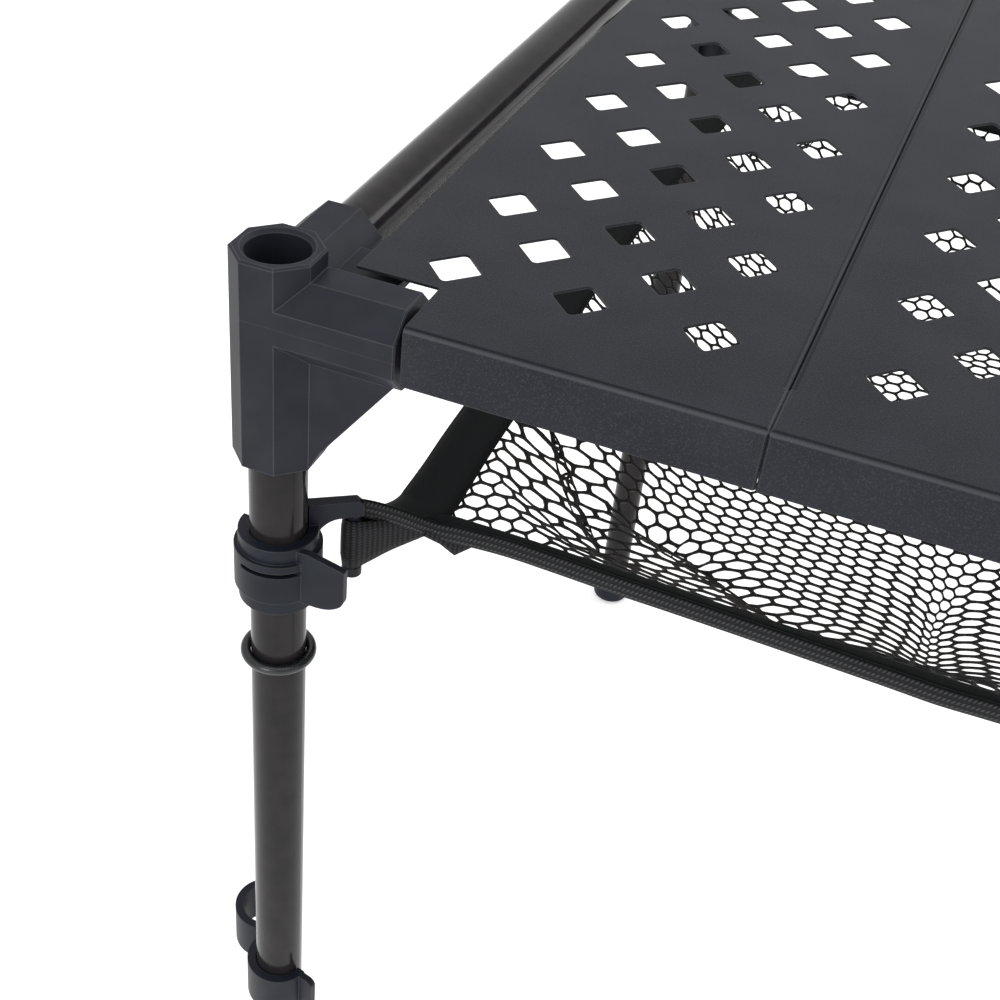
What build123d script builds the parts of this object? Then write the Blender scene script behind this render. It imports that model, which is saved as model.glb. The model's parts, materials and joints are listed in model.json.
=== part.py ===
from build123d import *
import os
from math import atan2, cos, degrees, radians, sin

# Folding side table: a perforated three-tray top on a frame of round tubes, octagonal corner hubs,
# plug-in lower legs and a net basket hung under the top.
# Millimetres. Z is up, the floor is z = 0, the origin is under the middle of the top.
# X runs along the front edge, Y runs from the front to the back.

# ---------------------------------------------------------------- driving dimensions
TUBE_D = 19.0          # every tube of the frame
TUBE_WALL = 1.2
TOP_Z = 536.0          # upper face of the trays above the floor
LEG_X = 208.5          # leg axes, half spacing across
LEG_Y = 266.0          # leg axes, half spacing front to back
HUB_AF = 26.4          # octagonal hub, across flats
HUB_RISE = 6.8         # hub top above the trays
HUB_DEPTH = 63.7       # hub foot below the trays
ARM_DROP = 12.1        # arm axis below the trays
ARM_REACH = 43.0       # arm end from the leg axis
LEDGE_REACH = 31.0     # square ledge in the corner between the arms
LEDGE_TOP = 5.0
LEDGE_THICK = 3.0
TRAY_COUNT = 3
SHEET = 1.0            # sheet steel of the trays
APRON = 18.6           # depth of the front and back aprons
FLANGE = 8.0           # depth of the flanges along the sides
FLANGE_REACH = 2.6     # width of the bent strip that carries a flange
FLANGE_CLEAR = 46.0    # outer flanges stop this far from the front, clear of the hub ledge
RELIEF = 22.0          # inner flanges stop this far from the front
NOTCH_X = 26.0         # corner cut of the outer trays, round the hub
NOTCH_Y = 25.2
HOLE_PITCH_X = 19.0    # one column to the next
HOLE_PITCH_Y = 45.9    # one row to the next, alternate columns are offset by half of it
HOLE_ROWS = 11
HOLE_DX = 17.6         # diagonals of the diamond holes
HOLE_DY = 19.2
HOLE_CORNER_R = 1.6
JOINT_Z = 389.8        # where a lower leg plugs into its upper leg
SPIGOT_IN = 40.0       # length of the spigot inside the upper leg
FOOT_R = 12.8
FOOT_H = 18.0
INWARD_YAW = 40.0      # direction of hooks and clips, measured from the X axis
HOOK_REACH = 25.0      # hook bar from the leg axis
RIM_DROP = 103.6       # middle of the basket rim below the trays
RIM_SIDE = 20.5        # outer edge of a side band from the leg axes
RIM_FRONT = 36.0       # outer edge of the front tape from the leg axes
NET_SAG = 62.0         # net bottom below the rim
STOW_TOP = 211.0       # stow clip on the lower leg
STOW_H = 20.5
STOW_R = 13.3          # outside of its rings
STOW_SPACING = 27.2    # between the two rings of a stow clip
COLLAR_R = 13.2        # hook collar around the upper leg
GRIP_R = 14.6          # thicker middle of the collar
COLLAR_TOP = 94.5      # hook sizes below are depths under the trays
COLLAR_FOOT = 123.0
GRIP_TOP = 100.0
GRIP_FOOT = 115.6
PLATE = 4.0            # thickness of the hook arm
TAB_PLATE = 2.6        # thickness of the finger tab

# ---------------------------------------------------------------- fits and small sizes
FIXED_FIT = 0.05       # radial gap of a tube fixed in its socket
RUN_FIT = 0.05         # radial gap of the spigot that slides in the upper leg
CLIP_GAP = 0.35        # radial gap of a clip around a tube
SOCKET_R = 9.8         # open socket in the top of a hub
BEND_R = 2.0           # outer radius of the sheet bends
WEBBING = 20.0         # width of the webbing

TUBE_R = TUBE_D / 2
TUBE_BORE_R = TUBE_R - TUBE_WALL
HUB_TOP_Z = TOP_Z + HUB_RISE
HUB_FOOT_Z = TOP_Z - HUB_DEPTH
HUB_SIDE = HUB_AF * (2**0.5 - 1)
ARM_Z = TOP_Z - ARM_DROP
ARM_SOCKET_START = 15.2
LEG_TOP_Z = HUB_FOOT_Z + 33.7
SOCKET_FLOOR_Z = LEG_TOP_Z + 3.0
SIDE_GAP = 19.0        # outer tray edge from the leg axes
TRAY_PITCH = 2 * (LEG_X - SIDE_GAP) / TRAY_COUNT
TRAY_GAP = 0.12        # seam between two trays
SEAM_NOTCH = 0.8       # width of the rounded-off groove along a seam
TRAY_DEPTH = 2 * LEG_Y + HUB_AF
RIM_Z = TOP_Z - RIM_DROP
STRAP_Z = RIM_Z

CORNERS = {
    "front_left": (-1, -1),
    "front_right": (1, -1),
    "back_left": (-1, 1),
    "back_right": (1, 1),
}

os.makedirs("parts", exist_ok=True)


def save(shape, name):
    export_step(shape, f"parts/{name}.step")


def at_corner(shape, sx, sy, turn):
    """Turn a piece built around a leg axis and move it to its corner."""
    return Location((sx * LEG_X, sy * LEG_Y, 0)) * Rot(0, 0, turn) * shape


def inward(sx, sy):
    """Yaw of the hooks and clips of one corner, towards the middle of the table."""
    return degrees(atan2(-sy * sin(radians(INWARD_YAW)), -sx * cos(radians(INWARD_YAW))))


def pipe(radius, bore, length):
    """Upright tube from z = 0."""
    base = (Align.CENTER, Align.CENTER, Align.MIN)
    return Cylinder(radius, length, align=base) - Cylinder(bore, length, align=base)


def octagon(across_flats):
    return RegularPolygon(across_flats / 2, 8, major_radius=False, rotation=22.5)


def sector(radius, height, middle, half_angle):
    """Wedge from z = 0 that opens a ring around the angle middle."""
    steps = [middle - half_angle, middle, middle + half_angle]
    points = [(radius * cos(radians(a)), radius * sin(radians(a))) for a in steps]
    return extrude(make_face(Polyline([(0, 0), *points], close=True)), height)


# ---------------------------------------------------------------- corner hub
def hub():
    """Moulded corner: octagonal post, two octagonal arms with gussets, four round sockets."""
    upwards = (Align.CENTER, Align.CENTER, Align.MIN)
    downwards = (Align.CENTER, Align.CENTER, Align.MAX)
    post = Pos(0, 0, HUB_FOOT_Z) * extrude(octagon(HUB_AF), HUB_TOP_Z - HUB_FOOT_Z)
    post = chamfer(post.faces().sort_by(Axis.Z)[-1].edges(), 0.7)
    arm = Pos(0, 0, ARM_Z) * Rot(0, 90, 0) * extrude(octagon(HUB_AF), ARM_REACH)
    arm = chamfer(arm.faces().sort_by(Axis.X)[-1].edges(), 0.5)
    low = ARM_Z - HUB_AF / 2
    outline = [(0, low + 2), (ARM_REACH - 3, low + 2), (ARM_REACH - 3, low), (16.9, low - 31.0)]
    outline += [(HUB_AF / 2, HUB_FOOT_Z), (0, HUB_FOOT_Z)]
    web = make_face(Plane.XZ * Polyline(outline, close=True))
    gusset = extrude(web, HUB_SIDE / 2, both=True)
    side = arm + gusset
    ledge = Pos(0, 0, TOP_Z - LEDGE_TOP) * Box(
        LEDGE_REACH, LEDGE_REACH, LEDGE_THICK, align=(Align.MIN, Align.MIN, Align.MAX)
    )
    body = post + side + Rot(0, 0, 90) * mirror(side, Plane.XZ) + ledge
    socket = Pos(0, 0, SOCKET_FLOOR_Z) * Cylinder(SOCKET_R, 60, align=upwards)
    mouth = Pos(0, 0, HUB_TOP_Z - 0.6) * Cone(SOCKET_R, SOCKET_R + 1.2, 1.2)
    leg_hole = Pos(0, 0, LEG_TOP_Z) * Cylinder(TUBE_R + FIXED_FIT, 60, align=downwards)
    rail = Cylinder(TUBE_R + FIXED_FIT, 60, align=upwards)
    rail_hole = Pos(ARM_SOCKET_START, 0, ARM_Z) * Rot(0, 90, 0) * rail
    return body - socket - mouth - leg_hole - rail_hole - Rot(0, 0, 90) * rail_hole


# ---------------------------------------------------------------- top trays
def hole_pattern():
    """Diamond holes of one tray: five columns, alternate columns offset by half a row."""
    points = [(HOLE_DX / 2, 0), (0, HOLE_DY / 2), (-HOLE_DX / 2, 0), (0, -HOLE_DY / 2)]
    diamond = make_face(Polyline(points, close=True))
    diamond = fillet(diamond.vertices(), HOLE_CORNER_R)
    first_y = -HOLE_PITCH_Y * (HOLE_ROWS - 0.5) / 2
    holes = []
    for column in range(5):
        offset = HOLE_PITCH_Y / 2 if column % 2 else 0
        for row in range(HOLE_ROWS):
            x = (column - 2) * HOLE_PITCH_X
            y = first_y + offset + row * HOLE_PITCH_Y
            holes.append(Pos(x, y, -SHEET * 3) * extrude(diamond, SHEET * 6))
    return holes


def tray(index):
    """Sheet tray: perforated top, aprons front and back, short flanges along the sides."""
    width = TRAY_PITCH - TRAY_GAP
    outer_side = {0: -1, TRAY_COUNT - 1: 1}.get(index, 0)
    box = RectangleRounded(TRAY_DEPTH, APRON * 2, BEND_R)
    hollow = RectangleRounded(TRAY_DEPTH - 2 * SHEET, (APRON - SHEET) * 2, BEND_R - SHEET)
    bent = (Pos(0, -APRON) * box) - (Pos(0, -APRON) * hollow)
    bent -= Pos(0, -APRON * 2) * Rectangle(TRAY_DEPTH + 2, APRON * 2)
    body = Rot(0, 0, 90) * Rot(90, 0, 0) * extrude(bent, width / 2, both=True)
    for side in (-1, 1):
        clear = FLANGE_CLEAR if side == outer_side else RELIEF
        length = TRAY_DEPTH - 2 * clear
        body -= Pos(side * width / 2, 0, 0) * Box(2 * BEND_R + 1.2, length, SHEET * 4)
        body += Pos(side * (width / 2 - FLANGE_REACH), 0, 0) * flange_strip(side, length)
    for hole in hole_pattern():
        body -= hole
    for side in (-1, 1):
        for end in (-1, 1):
            corner = Pos(side * width / 2, end * TRAY_DEPTH / 2, 0)
            if side == outer_side:
                body -= corner * Box(2 * NOTCH_X, 2 * NOTCH_Y, APRON * 3)
            else:
                body -= corner * seam_groove(end)
    x = (index - (TRAY_COUNT - 1) / 2) * TRAY_PITCH
    return Pos(x, 0, TOP_Z) * body


def seam_groove(end):
    """Small 45 degree groove down the apron edge and along the top edge, where two trays meet."""
    down = Rot(0, 0, 45) * Box(SEAM_NOTCH, SEAM_NOTCH, APRON * 3)
    top = Pos(0, -end * RELIEF / 2, 0) * Rot(0, 45, 0) * Box(SEAM_NOTCH, RELIEF, SEAM_NOTCH)
    return down + top


def flange_strip(side, length):
    """Rounded bend and short flange along a side of a tray, from x = 0 outwards."""
    section = RectangleRounded(2 * FLANGE_REACH, 2 * FLANGE, BEND_R)
    section -= RectangleRounded(2 * (FLANGE_REACH - SHEET), 2 * (FLANGE - SHEET), BEND_R - SHEET)
    section &= Pos(side * FLANGE_REACH / 2, FLANGE / 2) * Rectangle(FLANGE_REACH, FLANGE)
    strip = Rot(90, 0, 0) * extrude(section, length / 2, both=True)
    return Pos(0, 0, -FLANGE) * strip


def tray_pads(index):
    """Two rubber strips under a tray that rest on the cross rails."""
    thick = TOP_Z - SHEET - (ARM_Z + TUBE_R) - 0.05
    x = (index - (TRAY_COUNT - 1) / 2) * TRAY_PITCH
    top = TOP_Z - SHEET
    strip = Box(60, 8, thick, align=(Align.CENTER, Align.CENTER, Align.MAX))
    return Compound([Pos(x, end * LEG_Y, top) * strip for end in (-1, 1)])


# ---------------------------------------------------------------- legs
def foot():
    """Moulded cap over the end of a leg, rounded underneath."""
    base = (Align.CENTER, Align.CENTER, Align.MIN)
    cap = Cylinder(FOOT_R, FOOT_H, align=base)
    cap = fillet(cap.edges().sort_by(Axis.Z)[0], 4.0)
    cap = fillet(cap.edges().sort_by(Axis.Z)[-1], 1.0)
    return cap - Pos(0, 0, 4.0) * Cylinder(TUBE_R + FIXED_FIT, FOOT_H, align=base)


def stow_clip():
    """Two snap rings side by side; one grips the leg, the open one takes a loose leg."""
    bore = TUBE_R + CLIP_GAP
    second = Pos(0, STOW_SPACING, 0)
    base = (Align.CENTER, Align.CENTER, Align.MIN)
    rim = Cylinder(STOW_R, STOW_H, align=base)
    body = rim + second * rim
    body += Pos(0, STOW_SPACING / 2, 0) * Box(9.0, 6.0, STOW_H, align=base)
    lip = Pos(15.2, 0, 0) * Box(8.5, 2.8, STOW_H, align=base)
    lip = fillet(lip.edges().filter_by(Axis.Y).group_by(Axis.X)[-1], 3.0)
    for place in (Pos(0, 0, 0), second):
        body -= place * Cylinder(bore, STOW_H, align=base)
        body -= place * sector(30.0, STOW_H, 0, 50.0)
        for side in (-1, 1):
            body += place * Rot(0, 0, side * 52.0) * Pos(0, side * 1.4, 0) * lip
    return body - Cylinder(bore, STOW_H, align=base) - second * Cylinder(bore, STOW_H, align=base)


def ring():
    return Torus(TUBE_R + 1.82, 1.8)


# ---------------------------------------------------------------- basket
def hook_arm():
    """Plate that stands on the collar and arches over to the strap bar; x outwards, y up."""
    outline = Polyline(
        [(12, -112), (9, -112), (9, -86), (26.5, -87.2), (28, -88.7), (28, -93.2), (20, -93.2)]
    )
    arch = CenterArc((20, -101.2), 8, 90, 90)
    inside = Line((12, -101.2), (12, -112))
    return upright_plate(outline + arch + inside, PLATE)


def finger_tab():
    """Flat plate at the front of the collar, to lift the hook by; x outwards, y up."""
    outline = Polyline(
        [(15.5, -116.2), (6, -116.5), (6, -95.4), (14.9, -95.4), (27.6, -98), (27.6, -109.3)]
    )
    end = Spline((27.6, -109.3), (25.2, -113.6), (15.5, -116.2), tangents=[(0, -1), (-1, 0)])
    return upright_plate(outline + end, TAB_PLATE)


def upright_plate(outline, thick):
    face = make_face(Plane.XZ * outline)
    return extrude(face, thick / 2, both=True)


def hook_clip():
    """Collar that snaps round the upper leg, with a finger tab and a hook bar for the strap."""
    base = (Align.CENTER, Align.CENTER, Align.MIN)
    body = Pos(0, 0, -COLLAR_FOOT) * Cylinder(COLLAR_R, COLLAR_FOOT - COLLAR_TOP, align=base)
    body = chamfer(body.edges().sort_by(Axis.Z)[0], 1.8)
    body += Pos(0, 0, -GRIP_FOOT) * Cylinder(GRIP_R, GRIP_FOOT - GRIP_TOP, align=base)
    body -= Pos(0, 0, -104.6) * sector(30.0, 1.8, -103.0, 55.0)
    body += hook_arm()
    body += Rot(0, 0, -INWARD_YAW) * Pos(0, -6.5, 0) * finger_tab()
    body -= Pos(0, 0, -COLLAR_FOOT - 1) * Cylinder(TUBE_R + CLIP_GAP, 60, align=base)
    body -= Pos(0, 0, -COLLAR_FOOT - 1) * sector(30.0, 34.0, 100.0, 36.0)
    bar = Pos(HOOK_REACH, 0, -114.5) * Cylinder(2.4, 22.0, align=base)
    knob = Pos(HOOK_REACH, 0, -118.0) * Cylinder(3.4, 3.6, align=base)
    return Pos(0, 0, TOP_Z) * (body + bar + knob)


def strap():
    """Webbing from the rim corner to the hook bar, with a loop round the bar."""
    base = (Align.CENTER, Align.CENTER, Align.CENTER)
    loop = Cylinder(2.7 + 1.4, WEBBING, align=base) - Cylinder(2.7, WEBBING, align=base)
    reach = 27.0
    run = Pos(3.2 + reach / 2, 0, 0) * Box(reach, 2.6, WEBBING, align=base)
    return Pos(HOOK_REACH, 0, STRAP_Z) * (loop + run)


def net():
    """Closed skin of the net: a shallow sagging pocket with its open side up."""
    half_x = LEG_X - RIM_SIDE - WEBBING + 1.0
    half_y = LEG_Y - RIM_FRONT - 2.6
    steps = 5
    thick = 2.0

    def level(step, drop):
        share = step / steps
        run = 1 - 0.72 * share
        z = RIM_Z - 1.1 - drop - NET_SAG * (1 - (1 - share) ** 2)
        return Pos(0, 0, z) * Rectangle(2 * half_x * run, 2 * half_y * run)

    skin = None
    for step in range(steps):
        outer = loft([level(step, 0), level(step + 1, 0)])
        skin = outer if skin is None else skin + outer
    hollow = None
    for step in range(steps):
        inner = loft([level(step, -thick), level(step + 1, -thick)])
        hollow = inner if hollow is None else hollow + inner
    lid = Pos(0, 0, RIM_Z - 1.1) * Box(
        4 * half_x, 4 * half_y, 10, align=(Align.CENTER, Align.CENTER, Align.MIN)
    )
    return skin - hollow - lid


# ---------------------------------------------------------------- write every piece
HUB = hub()
HUB_TURN = {"front_left": 0, "front_right": 90, "back_right": 180, "back_left": 270}
FOOT = foot()
STOW = stow_clip()
RING = ring()
HOOK = hook_clip()
STRAP = strap()
UPPER_LEG = Pos(0, 0, JOINT_Z) * pipe(TUBE_R, TUBE_BORE_R, LEG_TOP_Z - 0.2 - JOINT_Z)
LOWER_LEG = Pos(0, 0, 4.2) * pipe(TUBE_R, TUBE_BORE_R, JOINT_Z - 0.1 - 4.2)
SPIGOT = Pos(0, 0, JOINT_Z - 30.0) * pipe(TUBE_BORE_R - RUN_FIT, TUBE_BORE_R - 1.4, SPIGOT_IN + 30.0)

for name, (sx, sy) in CORNERS.items():
    yaw = inward(sx, sy)
    save(at_corner(HUB, sx, sy, HUB_TURN[name]), f"hub_{name}")
    save(at_corner(UPPER_LEG, sx, sy, 0), f"upper_leg_{name}")
    save(at_corner(LOWER_LEG, sx, sy, 0), f"lower_leg_{name}")
    save(at_corner(SPIGOT, sx, sy, 0), f"leg_spigot_{name}")
    save(at_corner(Pos(0, 0, JOINT_Z - 1.95) * RING, sx, sy, 0), f"leg_ring_{name}")
    save(at_corner(FOOT, sx, sy, 0), f"foot_{name}")
    stow = STOW if sx * sy > 0 else mirror(STOW, Plane.XZ)
    save(at_corner(Pos(0, 0, STOW_TOP - STOW_H) * stow, sx, sy, yaw), f"stow_clip_{name}")
    save(at_corner(HOOK, sx, sy, yaw), f"basket_hook_{name}")
    save(at_corner(STRAP, sx, sy, yaw), f"basket_strap_{name}")

side_rail = pipe(TUBE_R, TUBE_BORE_R, 2 * (LEG_Y - ARM_SOCKET_START - 0.2))
cross_rail = pipe(TUBE_R, TUBE_BORE_R, 2 * (LEG_X - ARM_SOCKET_START - 0.2))
for name, s in (("left", -1), ("right", 1)):
    start = -(LEG_Y - ARM_SOCKET_START - 0.2)
    save(Pos(s * LEG_X, start, ARM_Z) * Rot(-90, 0, 0) * side_rail, f"side_rail_{name}")
for name, s in (("front", -1), ("back", 1)):
    start = -(LEG_X - ARM_SOCKET_START - 0.2)
    save(Pos(start, s * LEG_Y, ARM_Z) * Rot(0, 90, 0) * cross_rail, f"cross_rail_{name}")

for index, name in enumerate(("left", "middle", "right")):
    save(tray(index), f"tray_{name}")
    save(tray_pads(index), f"tray_pads_{name}")

save(net(), "basket_net")
band_x = LEG_X - RIM_SIDE - WEBBING / 2
band = Box(WEBBING, 2 * (LEG_Y - 62.0), 1.8)
tape_y = LEG_Y - RIM_FRONT - 1.2
tape = Box(2 * (LEG_X - 62.0), 2.4, 10.0)
for name, s in (("left", -1), ("right", 1)):
    save(Pos(s * band_x, 0, RIM_Z) * band, f"basket_band_{name}")
for name, s in (("front", -1), ("back", 1)):
    save(Pos(0, s * tape_y, RIM_Z) * tape, f"basket_tape_{name}")
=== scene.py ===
# %% [markdown]
# # A folding side table with a net basket
# The hubs, tubes, trays, clips and hooks arrive finished from CAD, so Blender gives them their
# surfaces. The basket is soft, and CAD holds it only as plain blocks: here it is made again as what
# it is, a knitted net sewn to woven bands and hung on four webbing straps.
# Everything is in metres, with the floor at z = 0 and the middle of the table at x = y = 0.

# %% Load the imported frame
import json
import math

import bpy
import numpy as np
from mathutils import Matrix, Vector, noise


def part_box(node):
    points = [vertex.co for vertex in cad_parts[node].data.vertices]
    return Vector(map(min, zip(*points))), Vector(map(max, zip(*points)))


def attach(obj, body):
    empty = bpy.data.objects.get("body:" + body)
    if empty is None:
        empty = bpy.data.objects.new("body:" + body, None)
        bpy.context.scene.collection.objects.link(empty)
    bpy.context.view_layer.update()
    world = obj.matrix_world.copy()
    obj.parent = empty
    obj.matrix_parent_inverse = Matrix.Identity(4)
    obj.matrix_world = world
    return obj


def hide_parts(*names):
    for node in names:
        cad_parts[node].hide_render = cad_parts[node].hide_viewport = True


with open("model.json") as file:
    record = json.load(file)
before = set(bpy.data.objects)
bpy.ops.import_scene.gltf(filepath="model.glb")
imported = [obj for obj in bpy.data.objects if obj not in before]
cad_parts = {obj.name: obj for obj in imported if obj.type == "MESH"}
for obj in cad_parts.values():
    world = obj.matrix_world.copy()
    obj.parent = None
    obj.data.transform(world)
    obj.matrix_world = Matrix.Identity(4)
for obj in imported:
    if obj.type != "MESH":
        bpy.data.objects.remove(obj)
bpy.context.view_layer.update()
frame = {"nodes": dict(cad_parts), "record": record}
nodes = frame["nodes"]

# %% [markdown]
# ## Places to build from
# Every soft piece hangs from the four legs, so its points are written as millimetres from a leg:
# inwards along X, inwards along Y, and up from the top of the trays. One function turns such a
# point into the shared frame, and two signs say which corner is meant.

# %% Measure the frame
MM = 0.001
foot_low, foot_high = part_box("foot_front_left")
LEG = Vector([abs(v) for v in (foot_low + foot_high) / 2])
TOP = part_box("tray_middle")[1].z
band_low, band_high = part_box("basket_band_left")
RIM = (band_low.z + band_high.z) / 2
rail_low, rail_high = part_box("cross_rail_front")
ARM_Z = (rail_low.z + rail_high.z) / 2
CORNERS = {"front_left": (-1, -1), "front_right": (1, -1), "back_left": (-1, 1), "back_right": (1, 1)}


def from_leg(point, corner):
    """A point in millimetres from a leg and the tray top, in the shared frame in metres."""
    sx, sy = CORNERS[corner]
    x, y, z = point
    return np.array([sx * (LEG.x - x * MM), sy * (LEG.y - y * MM), TOP + z * MM])


print("leg axis", tuple(LEG), "tray top", TOP, "basket rim", RIM)

# %% [markdown]
# ## The camera
# The table is seen from a little above, close to one corner. The camera is given by three directions,
# its right, its up and its back, and a place. The lens is a short telephoto, and a small shift keeps
# the corner in the frame without turning the camera.

# %% Camera
CAMERA_PLACE = Vector((-0.02882, -0.59929, 0.74543))
CAMERA_RIGHT = Vector((0.90787, 0.41636, 0.04917))
CAMERA_UP = Vector((-0.29498, 0.55100, 0.78063))
CAMERA_BACK = Vector((0.29793, -0.72322, 0.62305))

optics = bpy.data.cameras.new("table_camera")
optics.sensor_width = 36.0
optics.lens = 53.896
optics.shift_x = 0.1
optics.shift_y = 0.0245
camera = bpy.data.objects.new("table_camera", optics)
turned = Matrix((CAMERA_RIGHT, CAMERA_UP, CAMERA_BACK)).transposed().to_4x4()
camera.matrix_world = Matrix.Translation(CAMERA_PLACE) @ turned
bpy.context.scene.collection.objects.link(camera)
bpy.context.scene.camera = camera
print("camera", camera.name, "lens", optics.lens)

# %% [markdown]
# ## Writing shader maths as Python
# A material is a graph of nodes. To keep it readable, `Wire` stands for one output of a node, and
# adding or multiplying wires adds the Math nodes. `Recipe` stands for one material: its `node` method
# makes any node from a type, its settings and its sockets, and `cook` connects the result.

# %% Wire
class Wire:
    """One output socket; each operator adds a Math node."""

    def __init__(self, recipe, socket):
        self.recipe = recipe
        self.socket = socket

    def maths(self, operation, *values):
        return self.recipe.node("ShaderNodeMath", {"operation": operation}, dict(enumerate(values)))

    def __add__(self, other):
        return self.maths("ADD", self, other)

    def __radd__(self, other):
        return self.maths("ADD", other, self)

    def __sub__(self, other):
        return self.maths("SUBTRACT", self, other)

    def __rsub__(self, other):
        return self.maths("SUBTRACT", other, self)

    def __mul__(self, other):
        return self.maths("MULTIPLY", self, other)

    def __rmul__(self, other):
        return self.maths("MULTIPLY", other, self)

    def __abs__(self):
        return self.maths("ABSOLUTE", self)

    def sine(self):
        return self.maths("SINE", self)

    def step(self, low, high):
        """0 below low, 1 above high, and a smooth slope between."""
        settings = {"interpolation_type": "SMOOTHSTEP"}
        return self.recipe.node("ShaderNodeMapRange", settings, {0: self, 1: low, 2: high})


# %% Recipe
BEVEL_SAMPLES = 4
HIGHLIGHT_LEAN = (0.003, 0.05)  # how far a normal leans where the painted edge highlight begins and where it is full


class Recipe:
    """One material, built node by node."""

    def __init__(self, name):
        self.material = bpy.data.materials.new(name)
        self.material.use_nodes = True
        self.tree = self.material.node_tree
        self.tree.nodes.clear()
        self.place = self.node("ShaderNodeTexCoord", output="Object")

    def node(self, kind, settings=None, sockets=None, output=0):
        made = self.tree.nodes.new(kind)
        for key, value in (settings or {}).items():
            setattr(made, key, value)
        for key, value in (sockets or {}).items():
            if isinstance(value, Wire):
                self.tree.links.new(value.socket, made.inputs[key])
            else:
                made.inputs[key].default_value = value
        return Wire(self, made.outputs[output])

    def axes(self, vector):
        """The three numbers of a vector wire."""
        split = self.node("ShaderNodeSeparateXYZ", sockets={0: vector}).socket.node
        return [Wire(self, output) for output in split.outputs]

    def stretched(self, along_z):
        """The place of a point with its height scaled, which draws noise out along Z."""
        scale = (1.0, 1.0, along_z)
        return self.node("ShaderNodeVectorMath", {"operation": "MULTIPLY"}, {0: self.place, 1: scale})

    def weave(self):
        """How far along and how far across its strip a point lies."""
        return self.axes(self.node("ShaderNodeAttribute", {"attribute_name": "weave"}, output="Vector"))[:2]

    def grain(self, size_mm, detail=2.0, where=None):
        """Noise from 0 to 1 whose features are about size_mm across."""
        sockets = {"Vector": where or self.place, "Scale": 1 / (size_mm * MM), "Detail": detail}
        return self.node("ShaderNodeTexNoise", sockets=sockets)

    def blend(self, share, first, second):
        """A colour from first at 0 to second at 1."""
        sockets = {0: share, 6: (*first, 1) if isinstance(first, tuple) else first, 7: (*second, 1)}
        return self.node("ShaderNodeMix", {"data_type": "RGBA"}, sockets, output=2)

    def rounded(self, radius_mm):
        """Normals that soften every hard edge, as a mould or a brake press does."""
        return self.node("ShaderNodeBevel", {"samples": BEVEL_SAMPLES}, {"Radius": radius_mm * MM})

    def edge_highlight(self, soft):
        """0 on flat faces, rising to 1 along the edges that the rounded normals curve round: the mask of a
        painted edge highlight.
        """
        true = self.node("ShaderNodeNewGeometry", output="Normal")
        dot = self.node("ShaderNodeVectorMath", {"operation": "DOT_PRODUCT"}, {0: soft, 1: true}, "Value")
        return (1 - dot).step(*HIGHLIGHT_LEAN)

    def relief(self, height, depth_mm, normal=None):
        """Normals bent by a height from 0 to 1, which stands depth_mm proud at 1."""
        sockets = {"Height": height, "Distance": depth_mm * MM, "Strength": 1.0}
        if normal:
            sockets["Normal"] = normal
        return self.node("ShaderNodeBump", sockets=sockets)

    def cook(self, colour, roughness, normal, **fixed):
        """The finished material; fixed holds the shader's constants, with _ for each space."""
        sockets = {"Base Color": colour, "Roughness": roughness, "Normal": normal}
        sockets.update({key.replace("_", " "): value for key, value in fixed.items()})
        shader = self.node("ShaderNodeBsdfPrincipled", sockets=sockets, output="BSDF")
        end = self.tree.nodes.new("ShaderNodeOutputMaterial")
        self.tree.links.new(shader.socket, end.inputs["Surface"])
        return self.material


print("shader helpers ready")

# %% [markdown]
# ## Moulded plastic
# The hubs, clips and feet are injection moulded nylon: blue-black, matt from the spark-eroded mould,
# with a pale highlight painted along the edges. A faint line runs round a hub at the height of its
# arms, where the two halves of the mould met. Noise at two sizes makes the texture, the bevel node
# rounds the edges, and the height of a point gives the mould line.

# %% Plastics
# edge is the colour of the painted highlight along the edges; it also tints the mould line
def moulded(name, dark, pale, edge, rough, line_z=None):
    r = Recipe(name)
    cloud = r.grain(14, 3)
    pores = r.grain(0.35, 2)
    soft = r.rounded(0.55)
    height = pores * 0.6 + r.grain(1.6, 2) * 0.4
    colour = r.blend(cloud.step(0.3, 0.7), dark, pale)
    # painted highlight along the edges
    colour = r.blend(r.edge_highlight(soft) * (0.45 + cloud * 0.5), colour, edge)
    if line_z is not None:
        z = r.axes(r.place)[2]
        line = 1 - abs(z - line_z).step(0.05 * MM, 0.3 * MM)
        height = height + line
        colour = r.blend(line * 0.12, colour, edge)
    return r.cook(colour, rough + pores * 0.12, r.relief(height, 0.035, soft), Specular_IOR_Level=0.14)


hub_plastic = moulded("hub_plastic", dark=(0.0125, 0.0145, 0.020), pale=(0.0175, 0.020, 0.0265),
                      edge=(0.085, 0.085, 0.090), rough=0.45, line_z=ARM_Z)
clip_plastic = moulded("clip_plastic", dark=(0.008, 0.010, 0.016), pale=(0.012, 0.015, 0.021),
                       edge=(0.07, 0.07, 0.074), rough=0.36)
foot_plastic = moulded("foot_plastic", dark=(0.010, 0.012, 0.018), pale=(0.015, 0.018, 0.025),
                       edge=(0.06, 0.06, 0.065), rough=0.45)
print("made", hub_plastic.name, clip_plastic.name, foot_plastic.name)
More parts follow.
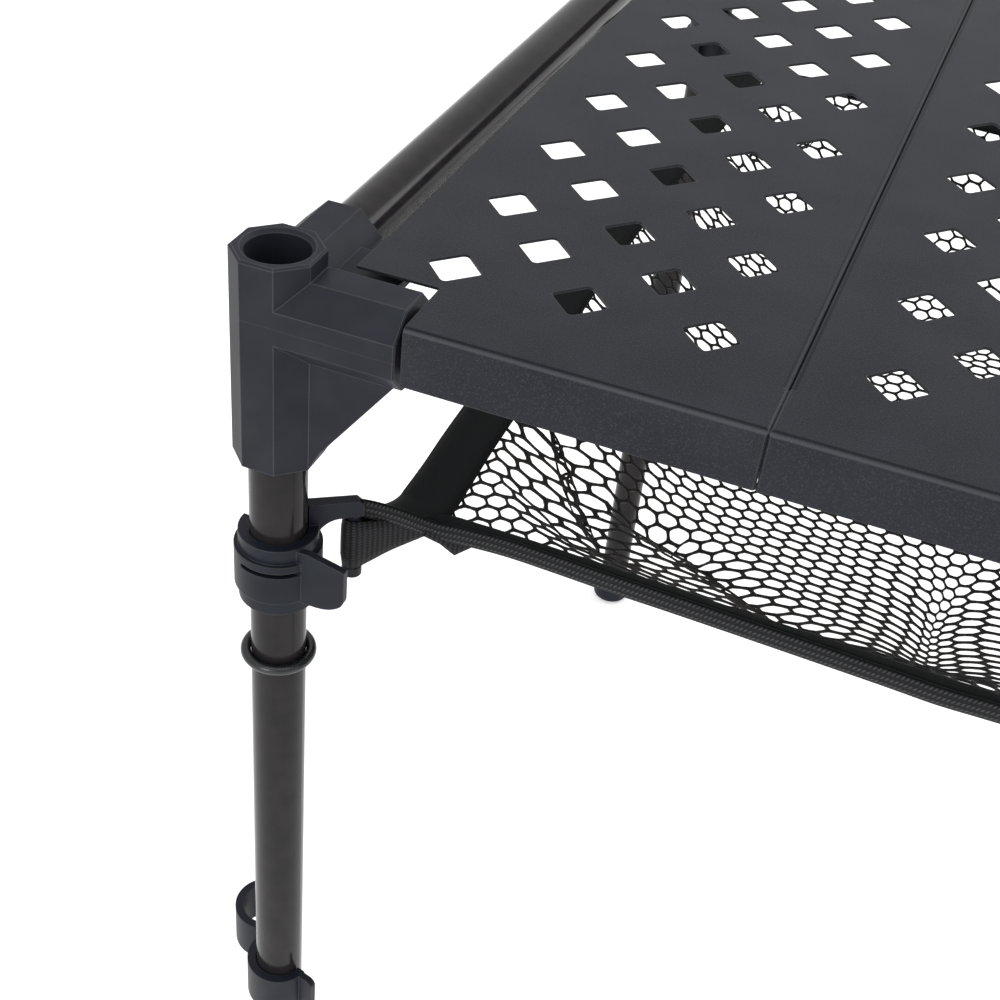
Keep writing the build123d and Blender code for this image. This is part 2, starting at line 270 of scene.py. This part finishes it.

# %% [markdown]
# ## Coated metal
# The trays carry a fine-textured powder coat: sintered grains leave a low orange-peel relief that
# breaks the light into specks, and pale specks painted in stand for their glints. Along the bend into
# the apron a line of painted shade and then a painted highlight follow the tilt of the surface. The
# tubes are coated smooth and semi-gloss, a little brown, with faint drawing marks along their length.

# %% Powder coat and tube coat
def powder_coat(name):
    r = Recipe(name)
    cloud = r.grain(30, 3)
    speck = r.grain(0.5, 3)
    fine = r.grain(0.3, 2)
    soft = r.rounded(0.5)
    colour = r.blend(cloud.step(0.25, 0.75), (0.014, 0.0155, 0.020), (0.020, 0.0215, 0.027))
    # pale specks painted in for the glints of the grains
    colour = r.blend(speck.step(0.50, 0.70) * 0.6, colour, (0.040, 0.043, 0.048))
    tilt = r.axes(r.node("ShaderNodeNewGeometry", output="Normal"))[2]
    # painted highlight where the sheet turns down into the apron
    painted_bend_highlight = tilt.step(0.2, 0.5) * (1 - tilt.step(0.6, 0.9))
    colour = r.blend(painted_bend_highlight * 0.42, colour, (0.085, 0.092, 0.102))
    # painted shade: a dark line where the top face starts to turn down
    painted_bend_shade = tilt.step(0.75, 0.93) * (1 - tilt.step(0.97, 0.9995))
    colour = r.blend(painted_bend_shade * 0.8, colour, (0.003, 0.0035, 0.005))
    # painted highlight along the edges
    colour = r.blend(r.edge_highlight(soft) * 0.6, colour, (0.085, 0.082, 0.082))
    normal = r.relief(speck * 0.7 + fine * 0.3, 0.11, soft)
    return r.cook(colour, 0.36 + fine * 0.16, normal, Specular_IOR_Level=0.1)


def semi_gloss_coat(name):
    r = Recipe(name)
    drawn = r.grain(0.5, 2, r.stretched(0.03))
    cloud = r.grain(9, 3)
    colour = r.blend(cloud.step(0.3, 0.7), (0.014, 0.013, 0.0145), (0.020, 0.0175, 0.0185))
    normal = r.relief(drawn * 0.5 + r.grain(0.4, 2) * 0.5, 0.006)
    return r.cook(colour, 0.11 + drawn * 0.06, normal, Specular_IOR_Level=0.13)


tray_coat = powder_coat("tray_coat")
tube_coat = semi_gloss_coat("tube_coat")
print("made", tray_coat.name, tube_coat.name)

# %% [markdown]
# ## Rubber and bare metal
# The stop rings are glossy moulded rubber, the tray pads dull sponge rubber, and the spigots inside
# the legs are drawn aluminium that nobody painted.

# %% Rubber and aluminium
def rubber(name, dark, pale, rough, pore_mm, depth_mm):
    r = Recipe(name)
    pores = r.grain(pore_mm, 3)
    colour = r.blend(pores.step(0.35, 0.7), dark, pale)
    return r.cook(colour, rough + pores * 0.15, r.relief(pores, depth_mm), Specular_IOR_Level=0.5)


def drawn_aluminium():
    r = Recipe("bare_metal")
    lines = r.grain(0.25, 3, r.stretched(0.02))
    colour = r.blend(lines, (0.50, 0.51, 0.53), (0.68, 0.69, 0.70))
    return r.cook(colour, 0.28 + lines * 0.15, r.relief(lines, 0.01), Metallic=1.0)


ring_rubber = rubber("ring_rubber", (0.009, 0.010, 0.012), (0.014, 0.015, 0.017),
                     rough=0.18, pore_mm=0.8, depth_mm=0.006)
pad_rubber = rubber("pad_rubber", (0.012, 0.012, 0.012), (0.025, 0.025, 0.025),
                    rough=0.75, pore_mm=0.6, depth_mm=0.12)
bare_metal = drawn_aluminium()
print("made", ring_rubber.name, pad_rubber.name, bare_metal.name)

# %% [markdown]
# ## Woven bands, tapes and straps
# Cloth has a direction. Each strip made below stores how far along and how far across it a point
# lies, in metres, as an attribute called `weave`. The ribs of the webbing are sine waves of those two
# numbers, so they turn corners with the strap.

# %% Cloths
def cloth(name, dark, pale, rib_along_mm, rib_across_mm, depth_mm, rough):
    r = Recipe(name)
    along, across = r.weave()
    turn = math.pi / (rib_along_mm * MM)
    rows = abs((along * turn).sine())
    stagger = (along * (turn / 2)).sine().step(-0.1, 0.1)
    picks = (across * (2 * math.pi / (rib_across_mm * MM)) + stagger * math.pi).sine() * 0.5 + 0.5
    yarn = r.grain(0.25, 3)
    height = rows * (0.55 + picks * 0.45) + yarn * 0.25
    # the colour follows the height: painted shade in the hollows between the ribs and a painted highlight
    # on their tops
    colour = r.blend((height * 0.8).step(0.25, 0.95), dark, pale)
    return r.cook(colour, rough - yarn * 0.1, r.relief(height, depth_mm), Specular_IOR_Level=0.2)


webbing = cloth("webbing", (0.003, 0.0033, 0.004), (0.026, 0.026, 0.029),
                rib_along_mm=1.9, rib_across_mm=1.1, depth_mm=0.4, rough=0.7)
band_cloth = cloth("band_cloth", (0.0045, 0.006, 0.0065), (0.008, 0.0095, 0.010),
                   rib_along_mm=0.55, rib_across_mm=0.9, depth_mm=0.06, rough=0.85)
print("made", webbing.name, band_cloth.name)

# %% [markdown]
# The edge tape is woven round three thick cords. Between the cords it is black, and along the top of
# each cord the slanted yarns catch the light as a row of short dashes.

# %% Corded tape
TAPE_HALF = 3.6
TAPE_CORDS = 3
CORD_MM = 2 * TAPE_HALF / TAPE_CORDS
DASH_MM = 1.45
DASH_SLANT = 0.6


def corded_tape():
    r = Recipe("edge_tape")
    along, across = r.weave()
    cords = abs((across * (math.pi / (CORD_MM * MM))).sine())
    dashes = abs(((along + across * DASH_SLANT) * (math.pi / (DASH_MM * MM))).sine())
    yarn = r.grain(0.25, 3)
    height = cords * (0.6 + dashes * 0.4) + yarn * 0.2
    shine = (cords * dashes).step(0.45, 0.95)
    colour = r.blend(shine * (0.55 + yarn * 0.5), (0.003, 0.0033, 0.004), (0.055, 0.055, 0.060))
    return r.cook(colour, 0.7 - yarn * 0.1, r.relief(height, 0.3), Specular_IOR_Level=0.25)


edge_tape = corded_tape()
print("made", edge_tape.name, "cord width", CORD_MM)

# %% [markdown]
# The yarn of the net is black with a brown cast in places, and fuzzy, so it has no clear highlight.

# %% Yarn
def net_yarn():
    r = Recipe("net_yarn")
    fibre = r.grain(0.3, 3)
    cloud = r.grain(35, 2)
    colour = r.blend(cloud.step(0.35, 0.65), (0.006, 0.0065, 0.0075), (0.014, 0.011, 0.009))
    colour = r.blend(fibre.step(0.5, 0.75) * 0.5, colour, (0.024, 0.022, 0.021))
    return r.cook(colour, 0.6 + fibre * 0.2, r.relief(fibre, 0.12), Specular_IOR_Level=0.35)


yarn_material = net_yarn()
print("made", yarn_material.name)

# %% [markdown]
# ## Dressing the CAD parts
# The record says which finish each node has, so a table of slot to material is enough. The meshes
# stay as they are, and only the material in their slots changes.

# %% Give every CAD node its finish
finishes = {
    "hub_plastic": hub_plastic,
    "clip_plastic": clip_plastic,
    "foot_plastic": foot_plastic,
    "ring_rubber": ring_rubber,
    "pad_rubber": pad_rubber,
    "bare_metal": bare_metal,
    "tray_coat": tray_coat,
    "tube_coat": tube_coat,
    "net": yarn_material,
    "webbing": webbing,
}
for row in frame["record"]["subparts"]:
    mesh = nodes[row["node"]].data
    mesh.materials.clear()
    mesh.materials.append(finishes[row["material_slot"]])

# %% [markdown]
# ## Strips of cloth
# A band, a tape and a strap are all the same thing: a strip between two edges. `strip` takes the two
# edges as a few points each, runs a smooth curve through them, and builds a closed skin between, with
# a front and a back face that may bulge. Lofting gives exact control where a strap folds, and it
# keeps the along and across numbers that the weave needs.

# %% Smooth curves and strips
CURVE_STEPS = 24


def lengths(line):
    """How far along a line each of its points is."""
    return np.concatenate([[0], np.cumsum(np.linalg.norm(np.diff(line, axis=0), axis=1))])


def smooth_curve(points, count):
    """count points, evenly spaced along a Catmull-Rom curve through points."""
    p = np.array(points, float)
    p = np.vstack([2 * p[0] - p[1], p, 2 * p[-1] - p[-2]])
    t = np.linspace(0, 1, CURVE_STEPS, endpoint=False)[:, None]
    pieces = []
    for a, b, c, d in zip(p, p[1:], p[2:], p[3:]):
        square, cube = 2 * a - 5 * b + 4 * c - d, 3 * b - a - 3 * c + d
        pieces.append(0.5 * (2 * b + (c - a) * t + square * t**2 + cube * t**3))
    line = np.vstack([*pieces, p[-2:-1]])
    gone = lengths(line)
    even = np.linspace(0, gone[-1], count)
    return np.stack([np.interp(even, gone, line[:, i]) for i in range(3)], axis=1)


def new_piece(name, points, faces, material, body="basket"):
    """A mesh object that rides on a body, with the material it is given."""
    mesh = bpy.data.meshes.new(name)
    mesh.from_pydata([tuple(p) for p in points], [], faces)
    mesh.materials.append(material)
    mesh.shade_smooth()
    piece = bpy.data.objects.new(name, mesh)
    bpy.context.scene.collection.objects.link(piece)
    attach(piece, body)
    return piece


def straight_runs(points, count):
    """About count points along straight runs through points, which all stay, so corners are sharp."""
    p = np.array(points, float)
    each = max(count // (len(p) - 1), 1)
    t = np.linspace(0, 1, each, endpoint=False)[:, None]
    return np.vstack([*[a + (b - a) * t for a, b in zip(p, p[1:])], p[-1:]])


def strip(name, edge_a, edge_b, steps, front, back, material, sharp=False):
    """A closed strip from edge_a to edge_b; front and back give its skins' heights across, in mm."""
    run = straight_runs if sharp else smooth_curve
    a = run(edge_a, steps)
    b = run(edge_b, steps)
    steps = len(a)
    middle = (a + b) / 2
    along = np.gradient(middle, axis=0)
    normal = np.cross(along, b - a)
    normal /= np.linalg.norm(normal, axis=1)[:, None]
    gone = lengths(middle)
    ring = list(zip(np.linspace(0, 1, len(front)), front))
    ring += list(zip(np.linspace(1, 0, len(back)), reversed(back)))
    points, weave = [], []
    for i in range(steps):
        width = np.linalg.norm(b[i] - a[i])
        for u, h in ring:
            points.append(a[i] + (b[i] - a[i]) * u + normal[i] * h * MM)
            weave.append((gone[i], u * width, 0.0))
    m = len(ring)
    faces = [(i * m + j, (i + 1) * m + j, (i + 1) * m + (j + 1) % m, i * m + (j + 1) % m)
             for i in range(steps - 1) for j in range(m)]
    faces.append(tuple(range(m)))
    faces.append(tuple(reversed(range((steps - 1) * m, steps * m))))
    piece = new_piece(name, points, faces, material)
    attribute = piece.data.attributes.new("weave", "FLOAT_VECTOR", "POINT")
    attribute.data.foreach_set("vector", np.array(weave, np.float32).ravel())
    return piece


def both_ends(half, first, last):
    """A run of points from one corner to the next: half from the first, mirrored for the last."""
    there = [from_leg(p, first) for p in half]
    back = [from_leg(p, last) for p in reversed(half)]
    return there + back


def corner_edges(low, high, corner):
    """Two edges at a corner, in the order that keeps the front skin of the strip outside."""
    sx, sy = CORNERS[corner]
    low, high = ([from_leg(p, corner) for p in edge] for edge in (low, high))
    return (low, high) if sx * sy > 0 else (high, low)


FRONT_BACK = (("front", "front_left", "front_right"), ("back", "back_right", "back_left"))
LEFT_RIGHT = (("left", "front_left", "back_left"), ("right", "back_right", "front_right"))
print("strip tools ready")

# %% [markdown]
# ## Front and back edge tapes
# A tape about 7 mm wide binds the front and the back edge of the net. Its face has three cords woven
# in, so the skin bulges three times. At each end it leaves the straight rim, turns at a soft corner
# and climbs to the hook on the leg. All the lines below are points from a leg, as far as the middle.

# %% Edge tapes
TAPE_SAMPLES = 19
CORD_LOW, CORD_RISE, CORD_ROUND = 0.35, 0.95, 0.7
TAPE_LEAN = 0.2  # the tape's lower edge stands this much further out, in mm
share = np.linspace(0, 1, TAPE_SAMPLES)
cord_face = list(CORD_LOW + CORD_RISE * np.abs(np.sin(np.pi * TAPE_CORDS * share)) ** CORD_ROUND)
cord_face[0] = cord_face[-1] = 0.1
flat_back = [-0.1, -0.7, -0.7, -0.1]

TAPE_LINE = [(20.6, 17.3, -91.0), (25.5, 21.0, -93.2), (31.5, 25.8, -97.0), (36.0, 30.5, -101.4),
             (39.5, 33.8, -104.4), (43.5, 35.9, -106.0), (51.0, 36.8, -105.8), (66.0, 37.2, -105.1),
             (82.0, 37.3, -105.4), (100.0, 37.3, -105.9), (125.0, 37.5, -106.4), (150.0, 37.6, -107.0),
             (190.0, 37.8, -108.2), (205.0, 37.8, -108.8)]
for name, first, last in FRONT_BACK:
    low = both_ends([(x, y - TAPE_LEAN, z - TAPE_HALF) for x, y, z in TAPE_LINE], first, last)
    high = both_ends([(x, y, z + TAPE_HALF) for x, y, z in TAPE_LINE], first, last)
    strip(f"edge_tape_{name}", high, low, 260, cord_face, flat_back, edge_tape)
    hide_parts(f"basket_tape_{name}")

# %% [markdown]
# ## Front and back hems
# Inside the tape the net's edge is folded under a smooth black hem. It is narrow at the corners and
# wider in the middle, where the weight of the net draws it inwards.

# %% Hems
HEM_OUTER = [(34.0, 29.6, -98.6), (38.0, 33.2, -101.0), (42.0, 35.6, -102.6), (47.0, 36.9, -102.6),
             (66.0, 37.6, -101.9), (82.0, 37.7, -102.2), (100.0, 37.7, -102.7), (125.0, 37.9, -103.2),
             (150.0, 38.0, -103.8), (190.0, 38.2, -105.0), (205.0, 38.2, -105.6)]
HEM_INNER = [(38.0, 36.0, -101.6), (41.5, 40.5, -102.6), (44.5, 42.0, -102.8), (47.0, 42.3, -103.0),
             (66.0, 43.0, -103.4), (82.0, 43.8, -104.2), (100.0, 44.5, -105.2), (125.0, 45.4, -106.3),
             (150.0, 46.2, -107.4), (190.0, 47.2, -108.5), (205.0, 47.6, -109.0)]
hem_skin = [0.05, 0.5, 0.45, 0.6, 0.05]
hem_back = [-0.05, -0.4, -0.05]
hems = []
for name, first, last in FRONT_BACK:
    outer = both_ends(HEM_OUTER, first, last)
    inner = both_ends(HEM_INNER, first, last)
    hems.append(strip(f"hem_{name}", outer, inner, 120, hem_skin, hem_back, band_cloth))
print("hems", [h.name for h in hems])

# %% [markdown]
# ## Side bands
# The left and right sides of the basket are flat woven bands, 20 mm wide. At a corner a band narrows
# a little, rises and runs to the hook, which gives the basket's corner its slanted outline.

# %% Side bands
BAND_OUTER = [(21.6, 20.0, -93.4), (23.2, 30.7, -98.0), (23.6, 38.0, -101.2), (23.4, 44.5, -103.4),
              (23.2, 48.0, -103.6), (22.9, 65.0, -103.6), (21.8, 89.0, -103.6), (20.8, 130.0, -103.7),
              (19.4, 200.0, -104.0), (19.0, 255.0, -104.2)]
BAND_INNER = [(30.0, 23.9, -96.6), (35.0, 30.2, -101.0), (39.0, 34.6, -103.0), (42.5, 39.5, -103.8),
              (43.4, 46.0, -103.9), (42.6, 65.0, -103.9), (41.6, 89.0, -103.9), (40.6, 130.0, -104.0),
              (37.6, 200.0, -104.3), (37.0, 255.0, -104.5)]
band_skin = [0.1, 0.75, 0.6, 0.55, 0.55, 0.65, 0.8, 0.1]
band_back = [-0.1, -0.7, -0.7, -0.1]
for name, first, last in LEFT_RIGHT:
    outer = both_ends(BAND_OUTER, first, last)
    inner = both_ends(BAND_INNER, first, last)
    band = strip(f"side_band_{name}", inner, outer, 200, band_skin, band_back, band_cloth)
    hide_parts(f"basket_band_{name}")
print("bands made")

# %% [markdown]
# ## Corner straps
# At each corner 20 mm webbing leaves the rim, passes round the bar of the hook and comes back, so two
# layers lie against each other. It is folded to half its width where it is sewn into the corner. The
# loop is one strip whose edges run in, round the bar and out again.

# %% Webbing straps
BAR = np.array([19.15, 16.07])
APEX = np.array([38.6, 34.6])
REACH = np.linalg.norm(APEX - BAR)
RUN = (APEX - BAR) / REACH
SIDE = np.array([RUN[1], -RUN[0]])
loop_half = [(0.94, 0.8), (0.5, 1.3), (0.18, 2.7), (0.0, 3.3), (-0.09, 2.4)]  # share of the run, mm aside
plan = [(s, -o) for s, o in loop_half] + [(-0.125, 0.0)] + loop_half[::-1]
STRAP_LOW = (-114.0, -107.2)
STRAP_HIGH = (-94.4, -100.8)


def strap_edge(at_bar, at_apex):
    """One edge of the webbing loop; its height goes from at_bar at the hook to at_apex at the rim."""
    edge = []
    for s, o in plan:
        x, y = BAR + RUN * REACH * s + SIDE * o
        edge.append((x, y, at_bar + (at_apex - at_bar) * max(s, 0)))
    return edge


strap_skin = [0.1, 0.65, 0.7, 0.7, 0.65, 0.1]
strap_back = [-0.1, -0.65, -0.65, -0.1]
for corner in CORNERS:
    edges = corner_edges(strap_edge(*STRAP_LOW), strap_edge(*STRAP_HIGH), corner)
    loop = strip(f"strap_{corner}", *edges, 90, strap_skin, strap_back, webbing)
    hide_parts(f"basket_strap_{corner}")
print("straps made, run", REACH)

# %% [markdown]
# The cut end of that webbing hangs below the corner of the rim as a small point.

# %% Strap ends
TAB_HIGH = [(38.4, 33.0, -103.5), (43.0, 36.8, -104.5), (48.5, 38.2, -104.5), (56.0, 38.6, -104.5)]
TAB_LOW = [(38.0, 31.6, -106.6), (42.8, 35.4, -111.0), (47.6, 37.5, -115.7), (55.4, 38.4, -108.6)]
for corner in CORNERS:
    edges = corner_edges(TAB_LOW, TAB_HIGH, corner)
    strip(f"strap_end_{corner}", *edges, 30, strap_skin, strap_back, webbing, sharp=True)
print("strap ends made")

# %% [markdown]
# ## The net
# The net is knitted, with rounded six-sided cells nearly 8 mm apart and yarn under a millimetre thick.
# A honeycomb of cells is laid out flat, each cell with a rounded opening, and every point is then
# moved to where the sagging cloth is: down into the basket, and together along the folds. A solidify
# modifier gives the yarn its thickness. Building the holes as geometry keeps the light passing
# through, which a transparent sheet would only pretend.

# %% Lay out the cells
PITCH = 7.8
YARN = 0.75  # width of a yarn, seen from above
YARN_DEPTH = 0.8
NET_HALF_X = LEG.x / MM - 36.0
NET_HALF_Y = LEG.y / MM - 40.0
BOW = 4.0  # how far the front and back edges are drawn in at the middle
CORNER_REACH = 1.07  # an opening is this much wider towards its corners
RING = 12  # points round a cell: its six corners and the six middles of its sides
corner_radius = PITCH / math.sqrt(3)
column_step = PITCH * math.sqrt(3) / 2
angles = np.radians(np.arange(RING) * 360.0 / RING)
is_corner = np.arange(RING) % 2 == 0
spokes = np.stack([np.cos(angles), np.sin(angles)], axis=1)
outer_ring = spokes * np.where(is_corner, corner_radius, PITCH / 2)[:, None]
inner_ring = spokes * (np.where(is_corner, CORNER_REACH, 1.0) * (PITCH - YARN) / 2)[:, None]

centres = []
columns = int(NET_HALF_X / column_step) + 1
rows = int(NET_HALF_Y / PITCH) + 1
for i in range(-columns, columns + 1):
    for j in range(-rows, rows + 1):
        x = i * column_step
        y = (j + (i % 2) / 2) * PITCH
        if abs(x) <= NET_HALF_X and abs(y) <= NET_HALF_Y - BOW * (1 - (x / NET_HALF_X) ** 2):
            centres.append((x, y))
print("cells", len(centres))

# %% [markdown]
# ## How the cloth hangs
# The rim is held level and the middle sags, so depth grows quickly near the rim and levels out. Spare
# cloth gathers into folds: along a fold the cells are drawn together and the cloth dips. A fold is a
# line of points, and each net point is moved by how near it is to that line. A pull above one carries
# the points past the line, so in the strong folds the cloth lies over itself. Every corner of the
# basket gets the same folds, shifted a little so that no two corners match.

# %% Shape of the hanging cloth
SAG = (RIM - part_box("basket_net")[0].z) / MM - 4.0
LEVEL = 0.72  # the share of the way to the middle over which the net goes down
SQUARENESS = 6
FREE_FROM = 0.08  # the share of the way to the middle where the yarn is free of the seam
DRIFT = 1.6
SWELL = 4.0
FOLDS = [  # plan points in mm from the middle, pull, reach and dip
    ([(-163, -130), (-160, -139), (-154, -143), (-147, -151), (-140, -161), (-131, -172), (-122, -185),
      (-116, -198)], 1.85, 12, 6),
    ([(-170, -175), (-162, -163), (-154, -156), (-147, -152)], 0.7, 6, 3),
    ([(-160, -195), (-151, -192), (-142, -190), (-134, -197), (-122, -208)], 0.8, 6, 4),
    ([(-128, -154), (-119, -152), (-110, -152), (-100, -152), (-89, -157), (-77, -168), (-66, -178),
      (-56, -187), (-42, -197), (-32, -204)], 1.85, 12, 6),
    ([(-14, -70), (-8, -100), (-2, -130), (1, -160), (2, -182), (4, -205)], 0.4, 15, 5),
]
WOBBLE_SEED = 7  # without a seed the noise vectors differ from run to run
MIRRORS = [(1, 1, 0), (-1, 1, 5), (1, -1, -6), (-1, -1, 3)]  # sign of x, sign of y, shift in mm


noise.seed_set(WOBBLE_SEED)


def near_line(points, line):
    """For each point, the vector to the nearest place on a line, and how far along that is."""
    best = np.full(len(points), np.inf)
    vector = np.zeros_like(points)
    reached = np.zeros(len(points))
    line = np.array(line, float)
    for k, (a, b) in enumerate(zip(line, line[1:])):
        t = np.clip(((points - a) @ (b - a)) / ((b - a) @ (b - a)), 0, 1)
        to_line = a + t[:, None] * (b - a) - points
        far = np.linalg.norm(to_line, axis=1)
        closer = far < best
        best = np.where(closer, far, best)
        vector[closer] = to_line[closer]
        reached = np.where(closer, (k + t) / (len(line) - 1), reached)
    return vector, best, reached


def hang(flat):
    """Where each point of the flat net is once it hangs, in mm: plan x, plan y and height under the rim."""
    flat = np.array(flat, float)
    wobble = np.array([noise.noise_vector((x / 22, y / 22, 3.1)) for x, y in flat])
    broad = np.array([noise.noise((x / 60, y / 60, 7.7)) for x, y in flat])
    half = np.array([NET_HALF_X, NET_HALF_Y])
    inside = 1 - np.clip(np.max(np.abs(flat) / half, axis=1), 0, 1)
    free = np.clip(inside / FREE_FROM, 0, 1)
    p = flat + wobble[:, :2] * DRIFT * free[:, None]
    dip = np.zeros(len(p))
    for mx, my, change in MIRRORS:
        for line, pull, reach, depth in FOLDS:
            moved = [(mx * (x + change), my * (y + change)) for x, y in line]
            vector, far, reached = near_line(p, moved)
            near = np.exp(-((far / reach) ** 2)) * np.sqrt(np.clip(np.sin(np.pi * reached), 0, 1)) * free
            p = p + vector * (pull * near)[:, None]
            dip += depth * near
    r = np.sum((np.abs(p) / half) ** SQUARENESS, axis=1) ** (1 / SQUARENESS)
    s = np.clip((1 - r) / LEVEL, 0, 1)
    depth = SAG * (1 - (1 - s) ** 2) + (dip + broad * SWELL) * np.clip(s * 6, 0, 1)
    depth = np.minimum(depth, SAG + 1.5)
    return np.column_stack([p, -depth])


# %% Build the net
KEYS_PER_MM = 50  # points closer than this grid are one point
index_of = {}
flat_points = []


def shared(x, y):
    """The number of the flat point at (x, y), made once and shared by the cells around it."""
    key = (round(x * KEYS_PER_MM), round(y * KEYS_PER_MM))
    if key not in index_of:
        index_of[key] = len(flat_points)
        flat_points.append((x, y))
    return index_of[key]


net_faces = []
for cx, cy in centres:
    outer = [shared(cx + dx, cy + dy) for dx, dy in outer_ring]
    inner = [shared(cx + dx, cy + dy) for dx, dy in inner_ring]
    for k in range(RING):
        n = (k + 1) % RING
        net_faces.append((outer[k], outer[n], inner[n], inner[k]))
UNDER_RIM = 1.6
hung = hang(flat_points)
net_points = hung * MM + np.array([0, 0, RIM - UNDER_RIM * MM])
net = new_piece("basket_net_knit", net_points, net_faces, yarn_material)
thick = net.modifiers.new("yarn_thickness", "SOLIDIFY")
thick.thickness = YARN_DEPTH * MM
thick.offset = 0.0
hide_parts("basket_net")
print("net faces", len(net_faces), "points", len(net_points))

# %% [markdown]
# ## Floor and light
# A pale floor and an evenly bright room stand for a white studio. Three large soft lights give the
# shape: one from the front for the faces of the hub, one from behind for the edges of the trays, and
# one from above.

# %% Floor
def studio_floor():
    r = Recipe("studio_floor")
    mottle = r.grain(180, 3)
    colour = r.blend(mottle, (0.90, 0.90, 0.90), (0.94, 0.94, 0.94))
    glow = {"Emission_Color": (1, 1, 1, 1), "Emission_Strength": 0.35}
    return r.cook(colour, 0.85 + mottle * 0.05, r.relief(r.grain(2, 2), 0.02), **glow)


FLOOR_HALF = 9.0
floor_corners = [(sx * FLOOR_HALF, sy * FLOOR_HALF, 0) for sx, sy in ((-1, -1), (1, -1), (1, 1), (-1, 1))]
floor_mesh = bpy.data.meshes.new("studio_floor")
floor_mesh.from_pydata(floor_corners, [], [(0, 1, 2, 3)])
floor_mesh.materials.append(studio_floor())
floor = bpy.data.objects.new("studio_floor", floor_mesh)
bpy.context.scene.collection.objects.link(floor)

# %% Lights
world = bpy.data.worlds.new("white_room")
world.use_nodes = True
room_light = world.node_tree.nodes["Background"].inputs
room_light["Color"].default_value = (1.0, 1.0, 1.0, 1)
room_light["Strength"].default_value = 0.85
bpy.context.scene.world = world
bpy.context.scene.view_settings.view_transform = "Standard"


def softbox(name, place, aim, width, height, power):
    lamp = bpy.data.lights.new(name, "AREA")
    lamp.shape = "RECTANGLE"
    lamp.size = width
    lamp.size_y = height
    lamp.energy = power
    box = bpy.data.objects.new(name, lamp)
    box.location = place
    box.rotation_euler = (Vector(aim) - Vector(place)).to_track_quat("-Z", "Y").to_euler()
    bpy.context.scene.collection.objects.link(box)


softbox("key_front", (-0.5, -2.2, 1.3), (-0.2, -0.26, 0.45), 0.8, 1.4, 16)
softbox("rim_back_right", (1.4, 1.6, 1.7), (0, 0, 0.5), 1.4, 1.0, 14)
softbox("overhead", (0.0, -0.2, 2.2), (0, 0, 0.5), 1.6, 1.6, 12)
